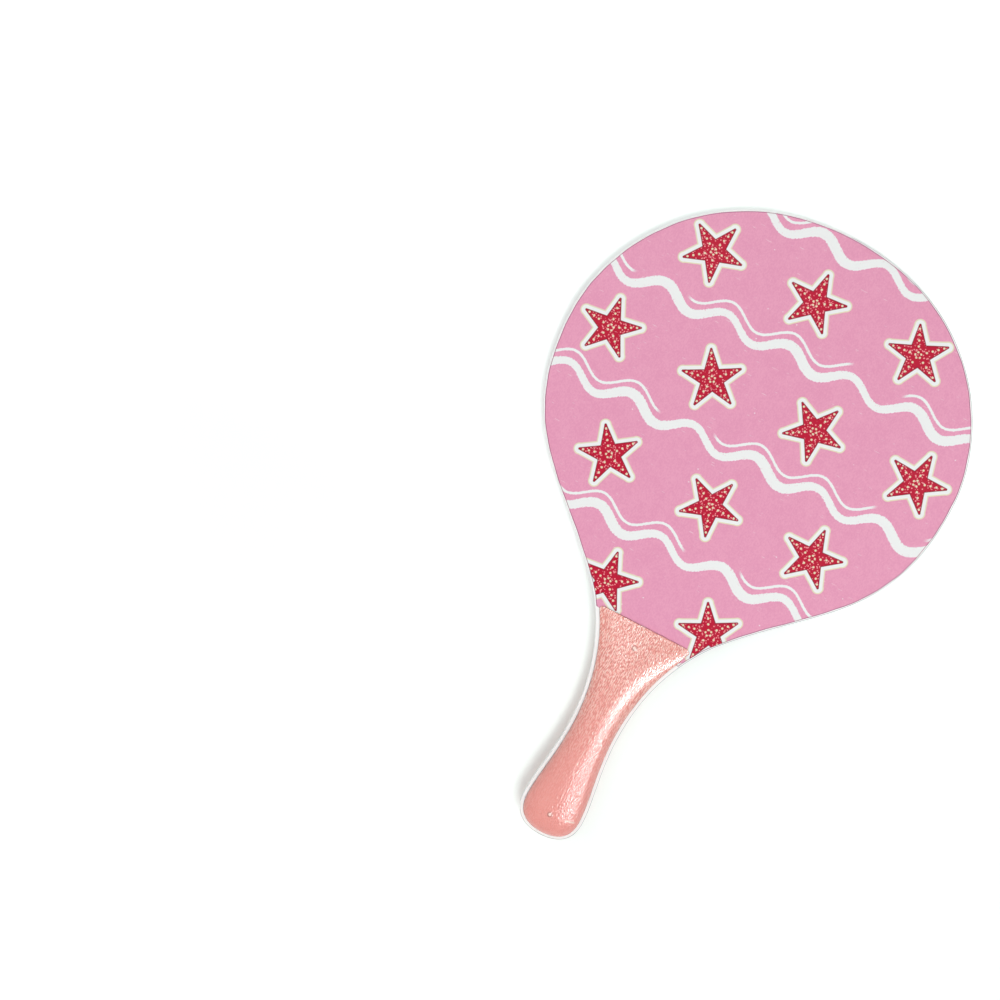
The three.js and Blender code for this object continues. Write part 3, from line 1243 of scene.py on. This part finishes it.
@dataclass(frozen=True)
class PrintedSheet:
    """A printed film over one face of the blade, trimmed by hand just inside its rim."""

    outline: BoardOutline
    side: Side
    cut: CutLine
    top_round: float = 0.1 * MM
    lip: float = 0.25 * MM
    rim_widths: tuple[float, ...] = (0.7 * MM, 1.3 * MM, 2.2 * MM, 4.0 * MM)
    ragged: float = 0.28 * MM
    long_ragged: float = 8.3 * MM
    short_ragged: float = 2.9 * MM
    join_length: float = 1.0 * MM
    samples: int = 240

    @property
    def node(self) -> str:
        """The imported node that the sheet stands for."""
        return f"print_sheet_{self.side.label}"

    def build(self, material: bpy.types.Material) -> None:
        """Makes the sheet and prints it."""
        dress(self.sheet(), material, Slot.PRINT, self.node)

    def sheet(self) -> bpy.types.Object:
        """Makes the film: edge sections along both sides of the blade and two faces.

        Returns:
            The sheet, with each point's distance from the rim in millimetres.
        """
        low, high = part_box(self.node)
        thickness = high.z - low.z
        face_z, _ = self.side.ends(self.node)
        trim = self.outline.length / 2.0 - high.y
        edge = edge_profile(0.0, thickness, 0.0, self.top_round, self.lip)
        profile = np.concatenate([edge, [[width, thickness] for width in self.rim_widths]])

        def half(way: float) -> Array:
            """The rings on one side, the right for 1 and the left for -1."""
            rings = [self._ring(trim, inset, height, way) for inset, height in profile]
            return self.side.place(np.stack(rings), face_z)

        right, left = half(1.0), half(-1.0)
        from_rim = np.where(profile[:, 1] < thickness, 0.0, profile[:, 0]) / MM
        depth = np.broadcast_to(from_rim[:, None], right.shape[:2])
        shell = Shell()
        shell.add_grid(right, rim_mm=depth)
        shell.add_grid(left, rim_mm=depth)
        shell.add_grid(np.stack([right[0], left[0]], axis=1))
        shell.add_grid(np.stack([right[-1], left[-1]], axis=1), rim_mm=from_rim[-1])
        shell.add_polygon(np.concatenate([right[:, 0], left[::-1, 0]]))
        return shell.build(f"{self.side.label}_beach_print")

    def _ring(self, trim: float, inset: float, height: float, way: float) -> Array:
        """One line of the sheet's edge, from the cut to the tip, on one side.

        The hand-trimmed edge wanders in by a product of two sines of y, out of step
        on the two sides but for the last stretch, where both meet at the tip. The
        line is taken from the outline between its crossing with the cut and the tip,
        at even steps of the outline's own numbering.

        Args:
            trim: Least distance of the sheet from the board's outline.
            inset: Distance in from the sheet's own edge.
            height: Height over the board's face.
            way: 1 for the right side and -1 for the left.

        Returns:
            The line's points.
        """

        def trimmed(y: Array) -> Array:
            """Distance in from the board's outline.

            Args:
                y: Places along the racket.

            Returns:
                The distance at each place.
            """
            from_tip = (self.outline.length / 2.0 - y) / self.join_length
            shift = way * np.clip(from_tip, 0.0, 1.0)
            slow = np.sin(y / self.long_ragged + shift)
            quick = np.sin(y / self.short_ragged + 2.0 * shift)
            return trim + inset + self.ragged * (0.5 + 0.5 * slow * quick)

        line = self.outline.half(trimmed)
        line[:, 0] *= way
        above = line[:, 1] - self.cut.seen_from(self.side).height(line[:, 0])
        first = int(np.argmax(above > 0.0))
        start = first - above[first] / (above[first] - above[first - 1])
        places = np.linspace(start, len(line) - 1, self.samples)
        numbers = np.arange(len(line))
        x = np.interp(places, numbers, line[:, 0])
        y = np.interp(places, numbers, line[:, 1])
        return np.column_stack([x, y, np.full(self.samples, height)])


# Handle cheeks

@dataclass(frozen=True)
class HandleCheek:
    """A domed wooden cheek on one side of the handle, painted over its two brads."""

    outline: BoardOutline
    side: Side
    wall: float = 1.2 * MM
    top_height: float = 1.9 * MM
    taper_length: float = 56.0 * MM
    butt_round_length: float = 15.0 * MM
    top_margin: float = 2.5 * MM
    corner_round: float = 2.1 * MM
    tuck_inset: float = 1.6 * MM
    right_trim: float = 2.0 * MM
    right_trim_length: float = 12.0 * MM
    top_edge_round: float = 0.45 * MM
    foot_round: float = 0.25 * MM
    wall_lean: float = 0.2 * MM
    film_step: float = 0.3 * MM
    film_step_run: float = 0.5 * MM
    tuck_left: float = 2.4 * MM
    tuck_right: float = 11.6 * MM
    hump: float = 0.42 * MM
    hump_radius: float = 1.35 * MM
    unevenness: float = 0.09 * MM
    waves_mm: tuple[tuple[float, float, float], ...] = (
        (2.3, 6.0, 0.0),
        (5.1, -3.7, 1.0),
        (11.0, 1.9, 0.0),
    )
    columns: int = 121
    centre_crowding: float = 0.45
    under_columns: int = 9
    corner_steps: int = 14
    foot_steps: int = 4
    steps: tuple[int, int, int, int, int] = (70, 90, 220, 4, 4)

    @property
    def node(self) -> str:
        """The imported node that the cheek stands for."""
        return f"handle_cheek_{self.side.label}"

    @property
    def face_z(self) -> float:
        """Height of the board's face that the cheek sits on."""
        return self.side.ends(self.node)[0]

    @property
    def brads(self) -> tuple[str, str]:
        """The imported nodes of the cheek's two brads."""
        return (f"{self.side.label}_upper_brad", f"{self.side.label}_lower_brad")

    def build(self, material: bpy.types.Material) -> None:
        """Makes the cheek and paints it."""
        dress(self.cheek(), material, Slot.CORAL, self.node)

    def stations(self) -> Array:
        """Half-widths of the cheek along the handle, butt end to top edge.

        The half-width is the board's outline moved in by a margin, even along the
        grip and growing with the square of the way up the taper. The last stretch
        is a quarter circle into the straight top edge.

        Returns:
            Half-width and y of each station.
        """
        low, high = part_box(self.node)
        board_margin = low.y - self.outline.butt_y

        def margin(y: Array) -> Array:
            """Width of board that shows beside the cheek."""
            run = np.clip(1.0 - (high.y - y) / self.taper_length, 0.0, 1.0)
            return board_margin + (self.top_margin - board_margin) * run ** 2

        fine = BoardOutline(self.outline.length, self.outline.width, steps=self.steps)
        line = fine.half(margin)
        corner_y = high.y - self.corner_round
        kept = line[line[:, 1] < corner_y]
        near = line[:len(kept) + 2]
        corner_x = float(np.interp(corner_y, near[:, 1], near[:, 0]))
        turn = quarter(self.corner_steps)
        corner_line = np.column_stack([
            corner_x - self.corner_round * (1 - np.cos(turn)),
            corner_y + self.corner_round * np.sin(turn),
        ])
        return np.concatenate([kept, corner_line])

    def rise(self, y: Array) -> Array:
        """Rise of the dome over its wall along the crown.

        A quarter ellipse over the butt, level along the grip, then a quarter sine
        down to the top edge.

        Args:
            y: Places along the racket.

        Returns:
            The rise at each place.
        """
        low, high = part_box(self.node)
        full = (high.z - low.z) - self.wall
        thin = self.top_height - self.wall
        short = np.clip(1.0 - (y - low.y) / self.butt_round_length, 0.0, 1.0)
        run = np.clip((high.y - y) / self.taper_length, 0.0, 1.0)
        taper = thin + (full - thin) * np.sin(run * math.pi / 2.0)
        return np.where(short > 0.0, full * np.sqrt(1.0 - short ** 2), taper)

    def cut(self) -> CutLine:
        """Lays the printed sheet's cut by how far it is tucked under at either side.

        Returns:
            The cut.
        """
        _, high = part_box(self.node)
        middle_y = high.y - (self.tuck_left + self.tuck_right) / 2.0
        width = 2.0 * (float(self.stations()[-1, 0]) + self.corner_round - self.tuck_inset)
        return CutLine(middle_y, (self.tuck_left - self.tuck_right) / width)

    def cheek(self) -> bpy.types.Object:
        """Makes the cheek as a domed skin and an underside that meet along its foot.

        Returns:
            The cheek.
        """
        stations = self.stations()
        skin = self._skin(stations)
        right, left = self._halves(stations)
        spread = np.linspace(-1.0, 1.0, self.under_columns)
        foot_x = np.maximum(np.where(spread > 0.0, right, left) - self.foot_round, 0.0)
        under_x = foot_x * spread
        under_y = np.broadcast_to(stations[:, 1:], under_x.shape)
        under = np.stack([under_x, under_y, self._lift(under_x, under_y)], axis=-1)
        over_foot = (skin[..., 2] - self._lift(skin[..., 0], skin[..., 1])) / MM
        from_brad = self._from_brad(skin[..., 0], skin[..., 1]) / MM
        shell = Shell()
        shell.add_grid(self.side.place(skin, self.face_z), foot_mm=over_foot, brad_mm=from_brad)
        shell.add_grid(self.side.place(under, self.face_z))
        rim = np.concatenate([skin[-1], under[-1, 1:-1]])
        shell.add_polygon(self.side.place(rim, self.face_z))
        return shell.build(f"{self.side.label}_handle_grip")

    def _halves(self, stations: Array) -> tuple[Array, Array]:
        """Half-widths to the right and to the left, in one column each.

        The right side was cut back further near the top edge, by an amount that
        grows with the square of the way up its last stretch.

        Args:
            stations: Half-width and y of each station.

        Returns:
            The right and the left half-widths.
        """
        half, y = stations[:, :1], stations[:, 1:]
        run = np.clip(1.0 - (y[-1] - y) / self.right_trim_length, 0.0, 1.0)
        return half - self.right_trim * run ** 2, half

    def _lift(self, x: Array, y: Array) -> Array:
        """Height of the underside, which steps up by the film where the sheet is tucked.

        The step is a smooth one, 3s^2 - 2s^3 over its run.

        Args:
            x: Places across.
            y: Places along.

        Returns:
            The height at each place.
        """
        line = self.cut().seen_from(self.side)
        share = np.clip((y - line.height(x)) / self.film_step_run + 0.5, 0.0, 1.0)
        return self.film_step * share ** 2 * (3.0 - 2.0 * share)

    def _skin(self, stations: Array) -> Array:
        """Places of the skin, from the right foot over the dome to the left foot.

        At a station with half-width w the dome has x = w cos a and height = wall +
        rise sin a for a from 0 to pi, less the fall of the rounded top edge. The
        angles crowd at the crown, a = pi/2 (1 + c s + (1 - c) s^3) for s from -1 to
        1. The foot is a quarter circle at either side, on the lifted underside, and
        the wall over it leans in by the lean.

        Args:
            stations: Half-width and y of each station.

        Returns:
            Stations by columns by three.
        """
        y = stations[:, 1:]
        right, left = self._halves(stations)
        turn = quarter(self.foot_steps)
        foot_in = self.foot_round * (1 - np.sin(turn))
        foot_rise = self.foot_round * (1 - np.cos(turn))
        right_z = self._lift(np.maximum(right - self.foot_round, 0.0), y) + foot_rise
        left_z = self._lift(-np.maximum(left - self.foot_round, 0.0), y) + foot_rise
        spread = np.linspace(-1.0, 1.0, self.columns)
        crowded = self.centre_crowding * spread + (1 - self.centre_crowding) * spread ** 3
        angle = math.pi / 2.0 * (1.0 + crowded)
        leaned = np.maximum(np.where(spread < 0.0, right, left) - self.wall_lean, 0.0)
        dome_x = leaned * np.cos(angle)
        dome_y = np.broadcast_to(y, dome_x.shape)
        over_edge = np.clip((y - y[-1] + self.top_edge_round) / self.top_edge_round, 0.0, 1.0)
        fall = self.top_edge_round * (1.0 - np.sqrt(1.0 - over_edge ** 2))
        crown = np.sin(angle)
        dome_z = self.wall - fall + self.rise(y) * crown + self._hand_work(dome_x, dome_y) * crown
        dome_z = np.minimum(dome_z, self._ceiling())
        right_x = np.maximum(right - foot_in, 0.0)
        left_x = -np.maximum(left - foot_in, 0.0)[:, ::-1]
        x = np.concatenate([right_x, dome_x, left_x], axis=1)
        z = np.concatenate([right_z, dome_z, left_z[:, ::-1]], axis=1)
        return np.stack([x, np.broadcast_to(y, x.shape), z], axis=-1)

    def _ceiling(self) -> float:
        """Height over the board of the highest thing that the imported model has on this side."""
        return max(abs(self.side.ends(node)[1] - self.face_z) for node in (self.node, *self.brads))

    def _from_brad(self, x: Array, y: Array) -> Array:
        """Distance from the middle of the nearer brad, looking straight down."""
        middles = [self.side.middle(node) for node in self.brads]
        return np.minimum(*[np.hypot(x - brad_x, y - brad_y) for brad_x, brad_y in middles])

    def _hand_work(self, x: Array, y: Array) -> Array:
        """What the hand has added to the dome: a hump over each brad, and slow unevenness.

        A hump is h exp(-(d / r)^4) at a distance d from the brad. The unevenness is
        a sum of slow sines that only takes away, each with its length along, its
        length across and its shift.

        Args:
            x: Places across, in the side's own coordinates.
            y: Places along.

        Returns:
            Height to add to the dome.
        """
        height = self.hump * np.exp(-(self._from_brad(x, y) / self.hump_radius) ** 4)
        waves = sum(
            np.sin(y / (along * MM) + x / (across * MM) + shift)
            for along, across, shift in self.waves_mm
        )
        return height - self.unevenness * 0.5 * (1.0 + waves / len(self.waves_mm))


@dataclass(frozen=True)
class Brad:
    """A round-headed brad, driven through a cheek into the board."""

    node: str
    side: Side
    shank_radius: float = 0.65 * MM
    head_radius: float = 1.25 * MM
    head_height: float = 0.7 * MM
    head_dome: float = 0.25 * MM
    point_length: float = 1.6 * MM
    grip_length: float = 3.2 * MM
    grip_depth: float = 0.07 * MM
    grips: int = 4
    grip_steps: int = 8
    turns: int = 32

    def build(self, material: bpy.types.Material) -> None:
        """Makes the brad and paints it."""
        dress(self.brad(), material, Slot.BRAD, self.node)

    def brad(self) -> bpy.types.Object:
        """Makes the brad as a profile turned about its axis.

        A profile point at radius r and height z gives the ring (r cos a, r sin a, z).

        Returns:
            The brad.
        """
        inner, outer = self.side.ends(self.node)
        profile = self._profile(abs(outer - inner))
        angle = np.linspace(0.0, math.tau, self.turns + 1)
        x = profile[:, :1] * np.cos(angle)
        y = profile[:, :1] * np.sin(angle)
        z = np.broadcast_to(profile[:, 1:], x.shape)
        centre = np.array([*self.side.middle(self.node), 0.0])
        shell = Shell()
        shell.add_grid(self.side.place(np.stack([x, y, z], axis=-1) + centre, inner))
        return shell.build(self.node.replace("brad", "nail"))

    def _profile(self, length: float) -> Array:
        """Radius and height from point to crown.

        A straight cone, a shank with gripping rings (half sines) under the head, a
        flat seat and a quarter-ellipse crown over a short straight rim.

        Args:
            length: Length from point to crown.

        Returns:
            Radius and height of each point of the profile.
        """
        seat = length - self.head_height
        grip = np.linspace(seat - self.grip_length, seat, self.grips * self.grip_steps + 1)
        rings = np.abs(np.sin((grip - grip[0]) / self.grip_length * math.pi * self.grips))
        turn = quarter(EDGE_STEPS)
        shank = np.column_stack([self.shank_radius + self.grip_depth * rings, grip])
        crown = np.column_stack([
            self.head_radius * np.cos(turn),
            length - self.head_dome * (1.0 - np.sin(turn)),
        ])
        ends = np.array([[0.0, 0.0], [self.shank_radius, self.point_length]])
        rim = np.array([[self.head_radius, seat]])
        return np.concatenate([ends, shank, rim, crown])


# Studio

@dataclass(frozen=True)
class Lamp:
    """A soft rectangular lamp over the racket.

    The breadth lies level and the depth lies along the lamp's own lean. A lamp
    that doesn't glint lights the racket but isn't mirrored in its paint, and one
    that doesn't fill is only mirrored.
    """

    name: str
    towards: tuple[float, float, float]
    distance: float
    breadth: float
    depth: float
    brightness: float
    glints: bool = True
    fills: bool = True

    def build(self, target: Vector) -> None:
        """Hangs the lamp, facing the target.

        A lamp of power P at a distance d lights a face that looks at it with
        P / (pi d^2), and a white matt face then looks as bright as that over pi, so
        P = pi^2 d^2 times the brightness that it is to give.

        Args:
            target: Point that the lamp faces.
        """
        light = bpy.data.lights.new(self.name, "AREA")
        light.shape = "RECTANGLE"
        light.size = self.breadth
        light.size_y = self.depth
        light.energy = self.brightness * (math.pi * self.distance) ** 2
        lamp = put(self.name, light)
        way = Vector(self.towards).normalized()
        lamp.location = target + way * self.distance
        lamp.rotation_euler = way.to_track_quat("Z", "Y").to_euler()
        lamp.visible_glossy = self.glints
        lamp.visible_diffuse = self.fills


@dataclass(frozen=True)
class Studio:
    """Floor, lamps, room light and camera."""

    back_cheek: HandleCheek
    white: StudioWhite = field(default_factory=StudioWhite)
    floor_reach: float = 3.0
    crown_places: int = 400
    room_light: float = 0.4
    lamp_target: tuple[float, float, float] = (0.0, 0.0, 0.01)
    camera_place: tuple[float, float, float] = (-0.0789, 0.0077, 0.923)
    camera_turn_deg: tuple[float, float, float] = (-1.366, 2.701, 27.191)
    lens_mm: float = 57.6
    sensor_mm: float = 36.0
    lamps: tuple[Lamp, ...] = (
        Lamp(
            "key_softbox", (0.215, -0.25, 0.944),
            distance=2.2, breadth=0.7, depth=0.7, brightness=0.5, glints=False,
        ),
        Lamp(
            "left_fill", (-0.6, 0.1, 0.8),
            distance=2.4, breadth=2.0, depth=1.6, brightness=0.17,
        ),
        Lamp(
            "right_strip", (0.64, -0.03, 0.77),
            distance=1.6, breadth=1.2, depth=0.17, brightness=2.1, fills=False,
        ),
        Lamp(
            "top_panel", (-0.2, 0.36, 0.91),
            distance=1.6, breadth=0.45, depth=0.35, brightness=0.42, fills=False,
        ),
    )

    def build(self) -> None:
        """Sets up the whole studio."""
        bpy.context.scene.view_settings.view_transform = "Standard"
        self._camera()
        self._room()
        for lamp in self.lamps:
            lamp.build(Vector(self.lamp_target))
        self._floor()

    def _camera(self) -> None:
        """Places the camera nearly straight over the racket."""
        lens = bpy.data.cameras.new("camera")
        lens.lens = self.lens_mm
        lens.sensor_width = self.sensor_mm
        camera = put("camera", lens)
        camera.location = self.camera_place
        camera.rotation_euler = Euler([math.radians(turn) for turn in self.camera_turn_deg], "XYZ")
        bpy.context.scene.camera = camera

    def _room(self) -> None:
        """Lights the racket evenly from all round; what the camera sees there is white."""
        graph = Graph(bpy.data.worlds.new("room"))
        level = graph.rays("Camera", "Transmission").between(self.room_light, 1.0)
        glow = {"Color": (1.0, 1.0, 1.0, 1.0), "Strength": level}
        bpy.context.scene.world = graph.finish(graph.node("ShaderNodeBackground", None, glow))

    def _floor(self) -> None:
        """Lays the floor against the two places that the racket rests on.

        The racket leans on the tip of its blade and on the crown of its back cheek.
        The floor is the plane through the tip that is steep enough to pass under
        every point of the crown: its slope is the largest of (tip height less crown
        height) over the way between them.
        """
        sheet_low, sheet_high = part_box("print_sheet_back")
        low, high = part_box(self.back_cheek.node)
        y = np.linspace(low.y, high.y, self.crown_places)
        crown_z = high.z - self.back_cheek.wall - self.back_cheek.rise(y)
        slope = float(np.max((sheet_low.z - crown_z) / (sheet_high.y - y)))
        reach = self.floor_reach
        corners = [(-reach, -reach), (reach, -reach), (reach, reach), (-reach, reach)]
        points = [(x, y, sheet_low.z - slope * (sheet_high.y - y)) for x, y in corners]
        mesh = bpy.data.meshes.new("studio_floor")
        mesh.from_pydata(points, [], [(0, 1, 2, 3)])
        mesh.materials.append(self.white.material("studio_white"))
        floor = put("studio_floor", mesh)
        LOG.info("studio_floor: slope %.4f", slope)


def main() -> None:
    """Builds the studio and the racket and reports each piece."""
    logging.basicConfig(level=logging.INFO, format="%(message)s")
    outline = BoardOutline.from_frame()
    cheeks = {side: HandleCheek(outline, side) for side in Side}
    Studio(cheeks[Side.BACK]).build()
    Board(outline).build()
    print_film = BeachPrint().material("printed_film")
    coral = CoralPaint().material("coral_paint")
    steel = PaintedSteel().material("painted_steel")
    for side, cheek in cheeks.items():
        PrintedSheet(outline, side, cheeks[Side.FRONT].cut()).build(print_film)
        cheek.build(coral)
        for node in cheek.brads:
            Brad(node, side).build(steel)


if __name__ == "__main__":
    main()
